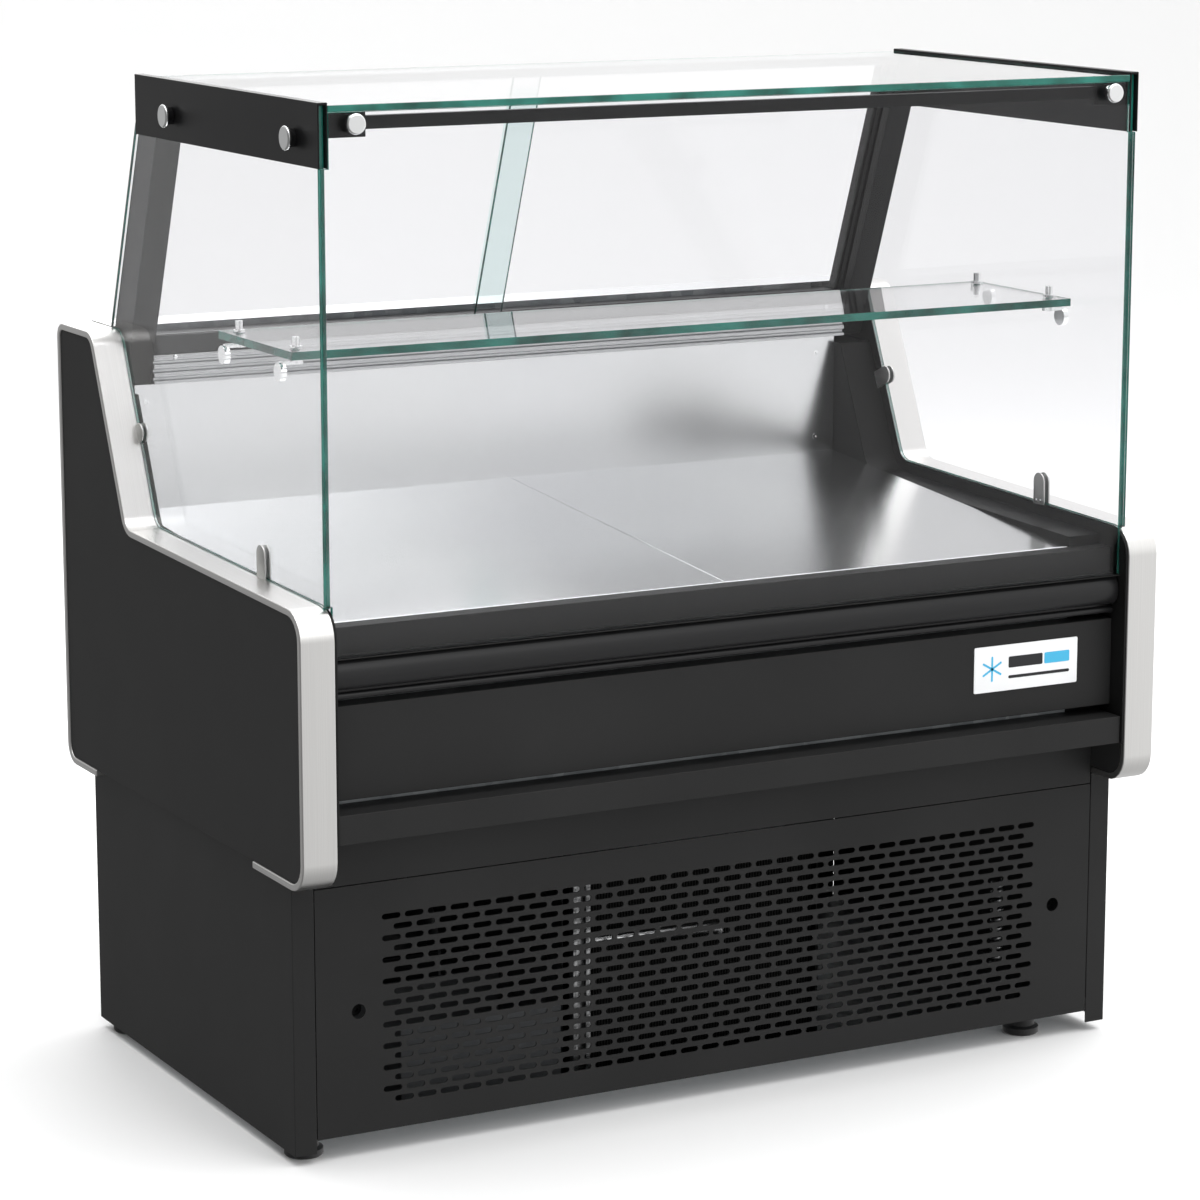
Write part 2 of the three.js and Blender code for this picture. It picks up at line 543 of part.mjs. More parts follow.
const FAN = { x: -10, height: 184, radius: 108, hub: 26, ringBack: 214 };
const shroudOutline = shapeOf([
  [COIL.left, MACHINE_FLOOR], [COIL.right, MACHINE_FLOOR], [COIL.right, COIL.top], [COIL.left, COIL.top],
]);
const fanHole = new THREE.Path();
fanHole.absarc(FAN.x, FAN.height, FAN.radius + 6, 0, 2 * Math.PI, true);
shroudOutline.holes.push(fanHole);
piece('fan_shroud', alongY(shroudOutline, 170, FAN.ringBack, 16), galvanised);

// the motor stands on its own bracket behind the rotor
const motor = new THREE.CylinderGeometry(36, 36, 55, 20).translate(FAN.x, 237, FAN.height);
const motorPost = box(FAN.x - 18, FAN.x + 18, 232, 238, MACHINE_FLOOR, FAN.height - 20);
const motorFoot = box(FAN.x - 30, FAN.x + 30, 220, 256, MACHINE_FLOOR, MACHINE_FLOOR + 3);
piece('fan_motor', join(motor, motorPost, motorFoot), castIron);

// rotor of pitched blades on a hub, turning about Y
function rotor(radius, hub, blades, depth, chord) {
  const hubSolid = new THREE.CylinderGeometry(hub, hub, depth, 18);
  const bladeSolids = Array.from({ length: blades }, (_, index) =>
    box(hub - 4, radius, -1.5, 1.5, -chord / 2, chord / 2)
    .rotateX(0.5).rotateY(index * 2 * Math.PI / blades));
  return join(hubSolid, ...bladeSolids);
}
piece('condenser_fan', rotor(FAN.radius, FAN.hub, 4, 22, 56), aluminium).position.set(FAN.x, 192, FAN.height);

// ---- evaporator under the deck ----
const EVAPORATOR = { left: -430, right: 330, front: 540, back: 650, bottom: 445, top: 585 };
const evaporatorBlock = box(
  EVAPORATOR.left, EVAPORATOR.right, EVAPORATOR.front, EVAPORATOR.back, EVAPORATOR.bottom, EVAPORATOR.top);
const evaporatorEnds = [EVAPORATOR.left, EVAPORATOR.right - 3].map((left) =>
  box(left, left + 3, EVAPORATOR.front - 6, EVAPORATOR.back + 6, WELL.floor + GAP, EVAPORATOR.top + 6));
const COOLER_FAN = { x: -50, depth: 500, height: 512, radius: 62 };
const fanMotor = new THREE.CylinderGeometry(24, 24, 28, 16).translate(COOLER_FAN.x, 527, COOLER_FAN.height);
piece('evaporator_coil', join(evaporatorBlock, ...evaporatorEnds, fanMotor), copperFins);
piece('evaporator_fan', rotor(COOLER_FAN.radius, 16, 5, 16, 34), blackPlastic)
  .position.set(COOLER_FAN.x, COOLER_FAN.depth, COOLER_FAN.height);

export default deliCase;
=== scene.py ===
import json
import math

import bmesh
import bpy
from mathutils import Matrix, Vector

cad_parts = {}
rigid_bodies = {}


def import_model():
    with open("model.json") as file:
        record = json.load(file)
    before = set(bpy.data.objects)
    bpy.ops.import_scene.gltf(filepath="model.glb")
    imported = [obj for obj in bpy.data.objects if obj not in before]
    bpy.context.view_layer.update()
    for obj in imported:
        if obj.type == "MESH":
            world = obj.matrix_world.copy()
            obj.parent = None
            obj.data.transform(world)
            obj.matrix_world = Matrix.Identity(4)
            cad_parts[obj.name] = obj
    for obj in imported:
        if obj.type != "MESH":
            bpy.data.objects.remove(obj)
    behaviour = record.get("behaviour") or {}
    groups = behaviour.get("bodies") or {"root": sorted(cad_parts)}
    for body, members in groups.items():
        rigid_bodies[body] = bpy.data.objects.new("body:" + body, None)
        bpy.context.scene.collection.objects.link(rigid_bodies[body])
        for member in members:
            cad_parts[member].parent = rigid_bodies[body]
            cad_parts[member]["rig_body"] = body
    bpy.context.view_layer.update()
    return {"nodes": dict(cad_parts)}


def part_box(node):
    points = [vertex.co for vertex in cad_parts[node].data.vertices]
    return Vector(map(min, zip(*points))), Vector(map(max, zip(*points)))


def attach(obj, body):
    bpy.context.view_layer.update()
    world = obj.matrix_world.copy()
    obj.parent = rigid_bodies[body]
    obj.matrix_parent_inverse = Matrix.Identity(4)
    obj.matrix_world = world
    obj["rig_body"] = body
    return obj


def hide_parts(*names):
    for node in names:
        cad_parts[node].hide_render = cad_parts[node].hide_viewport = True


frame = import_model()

# ---- camera: eye level of a customer standing off the left corner, long lens ----
eye, aim = Vector((-2.4905, -4.6543, 1.6620)), Vector((-0.0060, 0.0, 0.6060))
camera = bpy.data.objects.new("camera", bpy.data.cameras.new("camera"))
camera.location = eye
camera.rotation_euler = (aim - eye).to_track_quat("-Z", "Y").to_euler()
camera.data.lens, camera.data.sensor_width = 119.2, 36
camera.data.clip_end = 60
bpy.context.scene.collection.objects.link(camera)
bpy.context.scene.camera = camera


# ---- studio: white sweep of matt card, a white surround and soft lamps ----
# The card curves up behind the case, so the case stands on white with only a soft contact shadow. Mirror
# images leave it out and show the surround, which is bright above and to the right and dim to the left.
def linear(code):
    """The linear colour of an sRGB hex value."""
    parts = [int(code[i:i + 2], 16) / 255 for i in (1, 3, 5)]
    return [c / 12.92 if c <= 0.04045 else ((c + 0.055) / 1.055) ** 2.4 for c in parts] + [1.0]


def add(tree, kind, settings=None, links=None):
    """Adds one shader node with its settings and the sockets that feed it."""
    made = tree.nodes.new("ShaderNode" + kind)
    for key, value in (settings or {}).items():
        if isinstance(key, int) or key in made.inputs:
            made.inputs[key].default_value = value
        else:
            setattr(made, key, value)
    for key, source in (links or {}).items():
        tree.links.new(source, made.inputs[key])
    return made


def material(name, **sockets):
    """A new material with a Principled surface; its name is the finish it stands for."""
    made = bpy.data.materials.new(name)
    made.use_nodes = True
    tree = made.node_tree
    surface = tree.nodes["Principled BSDF"]
    for key, value in sockets.items():
        surface.inputs[key.replace("_", " ")].default_value = value
    return made, tree, surface


def linked_object(name, mesh, *materials):
    """Puts a mesh in the scene under a name, with its materials."""
    made = bpy.data.objects.new(name, mesh)
    bpy.context.scene.collection.objects.link(made)
    for each in materials:
        mesh.materials.append(each)
    return made


white_card, card_tree, card_surface = material(
    "matt_white_card", Base_Color=linear("#ffffff"), Roughness=0.9)
card_grain = add(card_tree, "TexNoise", {"Scale": 400.0, "Detail": 2.0})
card_bump = add(card_tree, "Bump", {"Strength": 0.03, "Distance": 0.001},
                {"Height": card_grain.outputs["Fac"]})
card_tree.links.new(card_bump.outputs["Normal"], card_surface.inputs["Normal"])

SWEEP_FRONT, SWEEP_BEND, SWEEP_RADIUS, SWEEP_TOP, SWEEP_HALF = -8.0, 6.5, 3.0, 9.0, 12.0
sweep = [(SWEEP_FRONT, 0.0), (SWEEP_BEND, 0.0)]
for step in range(1, 13):
    turn = step * math.pi / 24
    sweep.append((SWEEP_BEND + SWEEP_RADIUS * math.sin(turn), SWEEP_RADIUS - SWEEP_RADIUS * math.cos(turn)))
sweep.append((SWEEP_BEND + SWEEP_RADIUS, SWEEP_TOP))
card_mesh = bpy.data.meshes.new("sweep")
card_mesh.from_pydata(
    [(x, depth, height) for depth, height in sweep for x in (-SWEEP_HALF, SWEEP_HALF)], [],
    [(2 * i, 2 * i + 1, 2 * i + 3, 2 * i + 2) for i in range(len(sweep) - 1)])
card_mesh.shade_smooth()
sweep_card = linked_object("sweep", card_mesh, white_card)
sweep_card.visible_glossy = False

surround = bpy.data.worlds.new("white_room")
surround.use_nodes = True
room = surround.node_tree
room_way = add(room, "TexCoord")
room_lean = add(room, "VectorMath", {"operation": "DOT_PRODUCT", 1: (0.80, 0.10, 0.60)},
                {0: room_way.outputs["Generated"]})
room_level = add(room, "MapRange", {"From Min": -0.5, "From Max": 0.6, "To Min": 0.20, "To Max": 1.22},
                 {"Value": room_lean.outputs["Value"]})
room.nodes["Background"].inputs["Color"].default_value = linear("#ffffff")
room.links.new(room_level.outputs["Result"], room.nodes["Background"].inputs["Strength"])
bpy.context.scene.world = surround
bpy.context.scene.view_settings.view_transform = "Standard"

# place, aim, size, watts
LAMPS = {
    "overhead_softbox": ((0.3, -0.3, 5.0), (0.0, 0.0, 0.0), 6.0, 210),
    "front_softbox": ((1.5, -6.5, 3.4), (0.0, 0.0, 0.5), 2.6, 30),
    "rear_softbox": ((0.8, 4.2, 3.0), (0.2, 0.0, 0.8), 2.6, 40),
}
for name, (place, towards, size, power) in LAMPS.items():
    lamp = bpy.data.lights.new(name, "AREA")
    lamp.shape, lamp.size, lamp.energy = "SQUARE", size, power
    holder = bpy.data.objects.new(name, lamp)
    holder.location = place
    holder.rotation_euler = (Vector(towards) - Vector(place)).to_track_quat("-Z", "Y").to_euler()
    bpy.context.scene.collection.objects.link(holder)


# ---- base cabinet: folded sheet sides, back, front rail and lower shrouds ----
# 2 mm sheet steel, folded, welded and powder coated; the folds are broken by about a millimetre. The coat
# gives a near-black face with a soft, broad sheen.
def powder_coat(name, dark, light, roughness):
    """Black polyester powder on steel, barely uneven in tone and in sheen."""
    made, tree, surface = material(name, IOR=1.5, Specular_IOR_Level=0.14)
    place = add(tree, "TexCoord")
    cloud = add(tree, "TexNoise", {"Scale": 5.0, "Detail": 3.0}, {"Vector": place.outputs["Object"]})
    tone = add(tree, "ValToRGB", links={"Fac": cloud.outputs["Fac"]})
    for stop, position, colour in zip(tone.color_ramp.elements, (0.3, 0.7), (dark, light)):
        stop.position, stop.color = position, linear(colour)
    sheen = add(tree, "MapRange", {"From Min": 0.3, "From Max": 0.7, "To Min": roughness - 0.04,
                                   "To Max": roughness + 0.04}, {"Value": cloud.outputs["Fac"]})
    tree.links.new(tone.outputs["Color"], surface.inputs["Base Color"])
    tree.links.new(sheen.outputs["Result"], surface.inputs["Roughness"])
    return made


def tidy_edges(mesh, width, steps, sharp):
    """Rebuilds flat faces and rolls every edge sharper than the angle over by the width."""
    work = bmesh.new()
    work.from_mesh(mesh)
    bmesh.ops.remove_doubles(work, verts=work.verts, dist=2e-5)
    bmesh.ops.dissolve_limit(work, angle_limit=math.radians(0.6), verts=work.verts, edges=work.edges)
    edges = [e for e in work.edges if e.is_manifold and e.calc_face_angle(0.0) > math.radians(sharp)]
    if width:
        bmesh.ops.bevel(work, geom=edges, offset=width, segments=steps, profile=0.5, affect="EDGES",
                        clamp_overlap=True)
    bmesh.ops.recalc_face_normals(work, faces=work.faces)
    work.to_mesh(mesh)
    work.free()
    mesh.shade_smooth()
    mesh.set_sharp_from_angle(angle=math.radians(35))


def made_from(node, *materials, width=0.001, steps=2, sharp=25):
    """A finished piece with the node's own shape and rolled edges, standing for that node."""
    solid = frame["nodes"][node]
    mesh = solid.data.copy()
    mesh.materials.clear()
    tidy_edges(mesh, width, steps, sharp)
    piece = linked_object(node + "_finished", mesh, *materials)
    piece.modifiers.new("flat faces stay flat", "WEIGHTED_NORMAL").keep_sharp = True
    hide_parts(node)
    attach(piece, solid["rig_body"])
    return piece


cabinet_black = powder_coat("powder_coated_steel_black", "#262626", "#2a2a2a", 0.5)
for node in ("base_side_left", "base_side_right", "base_back", "base_front_rail"):
    made_from(node, cabinet_black, width=0.0009)

# ---- base floor: galvanised sheet under the machine ----
# Hot-dip zinc on steel: flat crystals a few centimetres across, each a slightly different grey.
zinc, zinc_tree, zinc_surface = material("galvanised_steel_sheet", Metallic=1.0)
zinc_place = add(zinc_tree, "TexCoord")
spangle = add(zinc_tree, "TexVoronoi", {"Scale": 55.0}, {"Vector": zinc_place.outputs["Object"]})
zinc_tone = add(zinc_tree, "ValToRGB", links={"Fac": spangle.outputs["Color"]})
for stop, colour in zip(zinc_tone.color_ramp.elements, ("#8b9093", "#b3b7b9")):
    stop.color = linear(colour)
zinc_rough = add(zinc_tree, "MapRange", {"To Min": 0.32, "To Max": 0.5},
                 {"Value": spangle.outputs["Distance"]})
zinc_tree.links.new(zinc_tone.outputs["Color"], zinc_surface.inputs["Base Color"])
zinc_tree.links.new(zinc_rough.outputs["Result"], zinc_surface.inputs["Roughness"])
made_from("base_floor", zinc, width=0.0006, steps=1)

# ---- grille: removable panel with eighteen staggered rows of stamped slots ----
# 2 mm sheet in the same black powder coat; the slots are 26 x 7.5 mm with round ends.
GRILLE_ROWS, SLOT_TOP, ROW_PITCH = 18, 0.307, 0.014
SLOT_PITCH, SLOT_LENGTH, SLOT_HEIGHT = 0.0316, 0.026, 0.0075
PANEL_BOLTS, BOLT_HEIGHT, BOLT_HOLE = (-0.520, 0.520), 0.190, 0.0095
panel_low, panel_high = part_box("grille_panel")


def slot_loop(centre_x, centre_z, length, height, steps=5):
    """Points round a slot with half-round ends."""
    radius, reach = height / 2, (length - height) / 2
    loop = []
    for side in (1, -1):
        for step in range(steps + 1):
            turn = math.pi * step / steps - math.pi / 2
            loop.append((centre_x + side * (reach + radius * math.cos(turn)),
                         centre_z + side * radius * math.sin(turn)))
    return loop


def drawn_solid(name, work, shift, *materials):
    """The closed solid that the flat outline sweeps along the shift, as a linked object."""
    raised = bmesh.ops.extrude_face_region(work, geom=work.faces[:])
    moved = [v for v in raised["geom"] if isinstance(v, bmesh.types.BMVert)]
    bmesh.ops.translate(work, verts=moved, vec=shift)
    bmesh.ops.recalc_face_normals(work, faces=work.faces)
    mesh = bpy.data.meshes.new(name)
    work.to_mesh(mesh)
    work.free()
    return linked_object(name, mesh, *materials)


def pierced_sheet(name, outline, holes, front, thickness, *materials):
    """A flat sheet facing the customer, from an outline with holes in it."""
    work = bmesh.new()
    for loop in [outline] + holes:
        verts = [work.verts.new((x, front, z)) for x, z in loop]
        for i, vert in enumerate(verts):
            work.edges.new((verts[i - 1], vert))
    bmesh.ops.triangle_fill(work, use_beauty=True, edges=work.edges[:], normal=(0, -1, 0))
    return drawn_solid(name, work, (0, thickness, 0), *materials)


slots = []
for row in range(GRILLE_ROWS):
    count = 31 if row % 2 == 0 else 30
    for column in range(count):
        slots.append(slot_loop((column - (count - 1) / 2) * SLOT_PITCH, SLOT_TOP - row * ROW_PITCH,
                               SLOT_LENGTH, SLOT_HEIGHT))
for bolt in PANEL_BOLTS:
    turns = [step * math.pi / 12 for step in range(24)]
    slots.append([(bolt + BOLT_HOLE * math.cos(turn), BOLT_HEIGHT + BOLT_HOLE * math.sin(turn))
                  for turn in turns])
edge = [(panel_low.x, panel_low.z), (panel_high.x, panel_low.z), (panel_high.x, panel_high.z),
        (panel_low.x, panel_high.z)]
grille = pierced_sheet("slotted_grille", edge, slots, panel_low.y, panel_high.y - panel_low.y, cabinet_black)
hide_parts("grille_panel")
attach(grille, "case")


# ---- screws: socket heads at the bottom of the grille's bolt holes ----
# Turned steel coloured near-black as painted shade, so each one reads as the dark shade of its hole;
# each has a hexagon socket.
def turned(name, profile, place, direction, *materials, steps=24):
    """A closed solid turned from (radius, height) points, its axis along the direction from the place."""
    work = bmesh.new()
    rings = []
    for radius, height in profile:
        if radius < 1e-6:
            rings.append([work.verts.new((0, 0, height))])
        else:
            rings.append([work.verts.new((radius * math.cos(2 * math.pi * i / steps),
                                          radius * math.sin(2 * math.pi * i / steps), height))
                          for i in range(steps)])
    for lower, upper in zip(rings, rings[1:]):
        for i in range(steps):
            j = (i + 1) % steps
            corners = [lower[i % len(lower)], lower[j % len(lower)],
                       upper[j % len(upper)], upper[i % len(upper)]]
            unique = list(dict.fromkeys(corners))
            if len(unique) > 2:
                work.faces.new(unique)
    for end in (rings[0], rings[-1]):
        if len(end) > 1:
            work.faces.new(end)
    bmesh.ops.recalc_face_normals(work, faces=work.faces)
    mesh = bpy.data.meshes.new(name)
    work.to_mesh(mesh)
    work.free()
    turn = Vector((0, 0, 1)).rotation_difference(Vector(direction)).to_matrix().to_4x4()
    mesh.transform(Matrix.Translation(place) @ turn)
    mesh.shade_smooth()
    mesh.set_sharp_from_angle(angle=math.radians(35))
    return linked_object(name, mesh, *materials)


# Painted shade: the near-black, barely glossy colour stands for the shade down in each bolt hole.
hole_shade_steel, hole_shade_tree, hole_shade_surface = material(
    "steel_with_painted_hole_shade", Base_Color=linear("#060606"), Metallic=0.0, Specular_IOR_Level=0.1)
wear = add(hole_shade_tree, "TexNoise", {"Scale": 300.0, "Detail": 3.0})
wear_rough = add(hole_shade_tree, "MapRange", {"To Min": 0.35, "To Max": 0.55},
                 {"Value": wear.outputs["Fac"]})
hole_shade_tree.links.new(wear_rough.outputs["Result"], hole_shade_surface.inputs["Roughness"])
SCREW = [(0, 0), (0.0085, 0), (0.0085, 0.002), (0.0078, 0.0028), (0.0036, 0.0028), (0.0036, 0.0008),
         (0, 0.0008)]
SCREW_SET_BACK = 0.011
for side, bolt in zip(("left", "right"), PANEL_BOLTS):
    screw = turned("grille_screw_" + side, SCREW, (bolt, panel_high.y + SCREW_SET_BACK, BOLT_HEIGHT),
                   (0, -1, 0), hole_shade_steel)
    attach(screw, "case")

# ---- feet: moulded levelling feet on threaded stems ----
# Black moulded nylon: dull, with the faint grain that the mould leaves.
nylon, nylon_tree, nylon_surface = material("moulded_nylon_black", Base_Color=linear("#1c1c1d"), IOR=1.53)
nylon_grain = add(nylon_tree, "TexNoise", {"Scale": 700.0, "Detail": 2.0})
nylon_rough = add(nylon_tree, "MapRange", {"To Min": 0.5, "To Max": 0.66},
                  {"Value": nylon_grain.outputs["Fac"]})
nylon_bump = add(nylon_tree, "Bump", {"Strength": 0.15, "Distance": 0.0003},
                 {"Height": nylon_grain.outputs["Fac"]})
nylon_tree.links.new(nylon_rough.outputs["Result"], nylon_surface.inputs["Roughness"])
nylon_tree.links.new(nylon_bump.outputs["Normal"], nylon_surface.inputs["Normal"])
for node in ("foot_front_left", "foot_front_right", "foot_rear_left", "foot_rear_right"):
    made_from(node, nylon, width=0.0008)

# ---- edge strips: the bright bands round both end panels ----
# Extruded aluminium bent round the corners, brushed along its length and clear anodised: fine lines that
# run with the band, a satin light face and brighter rolled edges.
anodised, anodised_tree, anodised_surface = material("brushed_anodised_aluminium", Metallic=1.0)
band_place = add(anodised_tree, "TexCoord")
band_run = add(anodised_tree, "Mapping", {"Scale": (2200.0, 6.0, 6.0)},
               {"Vector": band_place.outputs["Object"]})
band_lines = add(anodised_tree, "TexNoise", {"Scale": 1.0, "Detail": 4.0},
                 {"Vector": band_run.outputs["Vector"]})
band_tone = add(anodised_tree, "ValToRGB", links={"Fac": band_lines.outputs["Fac"]})
for stop, position, colour in zip(band_tone.color_ramp.elements, (0.25, 0.75), ("#dcdbd9", "#e8e7e5")):
    stop.position, stop.color = position, linear(colour)
band_rough = add(anodised_tree, "MapRange", {"To Min": 0.3, "To Max": 0.42},
                 {"Value": band_lines.outputs["Fac"]})
band_bump = add(anodised_tree, "Bump", {"Strength": 0.05, "Distance": 0.0001},
                {"Height": band_lines.outputs["Fac"]})
anodised_tree.links.new(band_tone.outputs["Color"], anodised_surface.inputs["Base Color"])
anodised_tree.links.new(band_rough.outputs["Result"], anodised_surface.inputs["Roughness"])
anodised_tree.links.new(band_bump.outputs["Normal"], anodised_surface.inputs["Normal"])
for side in ("left", "right"):
    made_from("edge_strip_" + side, anodised, width=0.0016, steps=3, sharp=40)

# ---- end panels, inner sides and the insulated body ----
# The end panels are flat black coated skins on foam; the inner sides are black moulded liners.
panel_black = powder_coat("powder_coated_panel_black", "#262626", "#2a2a2a", 0.54)
liner_black = powder_coat("moulded_abs_black", "#161616", "#1b1b1b", 0.42)
for side in ("left", "right"):
    made_from("end_panel_" + side, panel_black, width=0.0006, sharp=40)
made_from("side_liner_left", liner_black, width=0.0008, sharp=40)
made_from("side_duct_right", liner_black, width=0.0008, sharp=40)
made_from("insulated_body", zinc, width=0.0015)

# ---- front: sill, bumper, plain front panel and lower lip ----
# Folded and powder-coated steel, with an extruded vinyl bumper between them that catches a narrow highlight.
made_from("sill", cabinet_black, width=0.0009, steps=3)
made_from("front_panel", cabinet_black, width=0.0016, steps=3)
made_from("lower_lip", cabinet_black, width=0.0016, steps=3)
pvc, pvc_tree, pvc_surface = material(
    "extruded_pvc_black", Base_Color=linear("#1c1c1d"), IOR=1.53, Specular_IOR_Level=0.3)
pvc_place = add(pvc_tree, "TexCoord")
pvc_run = add(pvc_tree, "Mapping", {"Scale": (4.0, 900.0, 900.0)}, {"Vector": pvc_place.outputs["Object"]})
pvc_lines = add(pvc_tree, "TexNoise", {"Scale": 1.0, "Detail": 3.0}, {"Vector": pvc_run.outputs["Vector"]})
pvc_rough = add(pvc_tree, "MapRange", {"To Min": 0.26, "To Max": 0.36}, {"Value": pvc_lines.outputs["Fac"]})
pvc_tree.links.new(pvc_rough.outputs["Result"], pvc_surface.inputs["Roughness"])
made_from("bumper_rail", pvc, width=0.0006, sharp=40)

# ---- badge: a thin printed plate with a generic frost mark ----
# White enamelled aluminium stuck on the panel; the mark is a plain six-armed star and three bars.
enamel, enamel_tree, enamel_surface = material(
    "white_enamelled_plate", Base_Color=linear("#f2f3f4"), Coat_Weight=0.3)
enamel_grain = add(enamel_tree, "TexNoise", {"Scale": 500.0})
enamel_rough = add(enamel_tree, "MapRange", {"To Min": 0.28, "To Max": 0.36},
                   {"Value": enamel_grain.outputs["Fac"]})
enamel_tree.links.new(enamel_rough.outputs["Result"], enamel_surface.inputs["Roughness"])
ink_black, black_tree, black_surface = material("printed_ink_black", Base_Color=linear("#17191c"))
ink_blue, blue_tree, blue_surface = material("printed_ink_blue", Base_Color=linear("#3fb4df"))
for tree, surface in ((black_tree, black_surface), (blue_tree, blue_surface)):
    ink_grain = add(tree, "TexNoise", {"Scale": 800.0})
    ink_rough = add(tree, "MapRange", {"To Min": 0.35, "To Max": 0.5},
                    {"Value": ink_grain.outputs["Fac"]})
    tree.links.new(ink_rough.outputs["Result"], surface.inputs["Roughness"])


def rolled_plate(name, low, high, radius, width, *materials, corner_steps=5):
    """A plate in the X-Z plane with rounded corners and rolled edges, from its two opposite corners."""
    middle_x, middle_z = (low[0] + high[0]) / 2, (low[2] + high[2]) / 2
    half_x, half_z = (high[0] - low[0]) / 2 - radius, (high[2] - low[2]) / 2 - radius
    loop = []
    for corner, (sx, sz) in enumerate(((1, 1), (-1, 1), (-1, -1), (1, -1))):
        for step in range(corner_steps + 1):
            turn = math.pi / 2 * (corner + step / corner_steps)
            loop.append((middle_x + sx * half_x + radius * math.cos(turn),
                         middle_z + sz * half_z + radius * math.sin(turn)))
    piece = pierced_sheet(name, loop, [], low[1], high[1] - low[1], *materials)
    tidy_edges(piece.data, width, 2, 40)
    return piece


panel_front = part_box("front_panel")[0].y
badge = rolled_plate("badge_plate", (0.355, panel_front - 0.0016, 0.5105),
                     (0.519, panel_front - 0.0002, 0.5725), 0.002, 0.0004, enamel)
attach(badge, "case")
ink_front, ink_back = panel_front - 0.0019, panel_front - 0.0017
for index in range(3):
    arm = rolled_plate(f"badge_star_{index}", (-0.017, ink_front, -0.0014), (0.017, ink_back, 0.0014),
                       0.0013, 0.0, ink_blue)
    arm.data.transform(Matrix.Translation((0, 0.0001 * index, 0)))
    arm.data.transform(Matrix.Rotation(math.radians(60 * index + 30), 4, "Y"))
    arm.data.transform(Matrix.Translation((0.383, -0.0001 * index, 0.5415)))
    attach(arm, "case")
for name, low_x, high_x, low_z, high_z, ink in (
        ("badge_bar_upper", 0.409, 0.463, 0.541, 0.556, ink_black),
        ("badge_bar_blue", 0.466, 0.506, 0.541, 0.556, ink_blue),
        ("badge_bar_lower", 0.409, 0.506, 0.5265, 0.5305, ink_black)):
    bar = rolled_plate(name, (low_x, ink_front, low_z), (high_x, ink_back, high_z), 0.0018, 0.0, ink)
    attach(bar, "case")

# ---- deck pans and back wall: the steel lining of the display space ----
# Satin stainless sheet: it mirrors its surroundings softly, with slow cloudy changes left by the rolling.
stainless, steel_tree, steel_surface = material("satin_stainless_sheet", Metallic=1.0)
steel_place = add(steel_tree, "TexCoord")
steel_cloud = add(steel_tree, "TexNoise", {"Scale": 2.2, "Detail": 1.0},
                  {"Vector": steel_place.outputs["Object"]})
steel_tone = add(steel_tree, "ValToRGB", links={"Fac": steel_cloud.outputs["Fac"]})
for stop, position, colour in zip(steel_tone.color_ramp.elements, (0.3, 0.7), ("#dcddde", "#e6e7e7")):
    stop.position, stop.color = position, linear(colour)
steel_rough = add(steel_tree, "MapRange", {"From Min": 0.3, "From Max": 0.7, "To Min": 0.20, "To Max": 0.27},
                  {"Value": steel_cloud.outputs["Fac"]})
steel_tree.links.new(steel_tone.outputs["Color"], steel_surface.inputs["Base Color"])
steel_tree.links.new(steel_rough.outputs["Result"], steel_surface.inputs["Roughness"])
for node in ("deck_pan_left", "deck_pan_right"):
    made_from(node, stainless, width=0.0012, steps=3)
made_from("back_wall", stainless, width=0.0006)
made_from("rear_ledge", stainless, width=0.0009, steps=3)

# ---- rear frame: posts, door tracks and the grooved extrusion under them ----
# The posts are black coated extrusions; the rail under the black track is plain satin aluminium, drawn with
# fine lines along its length.
frame_black = powder_coat("powder_coated_extrusion_black", "#161617", "#1b1b1c", 0.36)
for node in ("rear_post_left", "rear_post_right"):
    made_from(node, frame_black, width=0.0007)
made_from("door_track_bottom", pvc, width=0.0005)

rolled, rolled_tree, rolled_surface = material(
    "extruded_aluminium_satin", Metallic=1.0, Base_Color=linear("#b9babb"))
rolled_place = add(rolled_tree, "TexCoord")
rolled_run = add(rolled_tree, "Mapping", {"Scale": (5.0, 1500.0, 1500.0)},
                 {"Vector": rolled_place.outputs["Object"]})
rolled_lines = add(rolled_tree, "TexNoise", {"Scale": 1.0, "Detail": 3.0},
                   {"Vector": rolled_run.outputs["Vector"]})
rolled_rough = add(rolled_tree, "MapRange", {"To Min": 0.2, "To Max": 0.36},
                   {"Value": rolled_lines.outputs["Fac"]})
rolled_tree.links.new(rolled_rough.outputs["Result"], rolled_surface.inputs["Roughness"])
made_from("track_support", rolled, width=0.0005)
made_from("door_track_top", rolled, width=0.0005)

# ---- small screws of the lining ----
# Polished stainless: flat heads in the back wall, which the pans lift past, and pan heads on the rail.
polished, polished_tree, polished_surface = material(
    "polished_chrome", Metallic=1.0, Base_Color=linear("#eceded"))
polish_marks = add(polished_tree, "TexNoise", {"Scale": 60.0, "Detail": 3.0})
polish_rough = add(polished_tree, "MapRange", {"To Min": 0.05, "To Max": 0.13},
                   {"Value": polish_marks.outputs["Fac"]})
polished_tree.links.new(polish_rough.outputs["Result"], polished_surface.inputs["Roughness"])
FLAT_HEAD = [(0, 0), (0.0042, 0), (0.0040, 0.0002), (0.0014, 0.0002), (0.0011, 0.00005), (0, 0.00005)]
PAN_HEAD = [(0, 0), (0.0038, 0), (0.0036, 0.0009), (0.0028, 0.0017), (0.0015, 0.0021), (0, 0.0022)]
for index, (x, z) in enumerate(((0.494, 0.879), (0.494, 0.756), (-0.545, 0.879), (-0.545, 0.756))):
    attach(turned(f"wall_screw_{index}", FLAT_HEAD, (x, 0.2698, z), (0, -1, 0), polished, steps=16),
            "case")
for index, x in enumerate((-0.505, 0.505)):
    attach(turned(f"rail_screw_{index}", PAN_HEAD, (x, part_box("track_support")[0].y - 0.0002, 0.9385),
                   (0, -1, 0), polished, steps=16), "case")

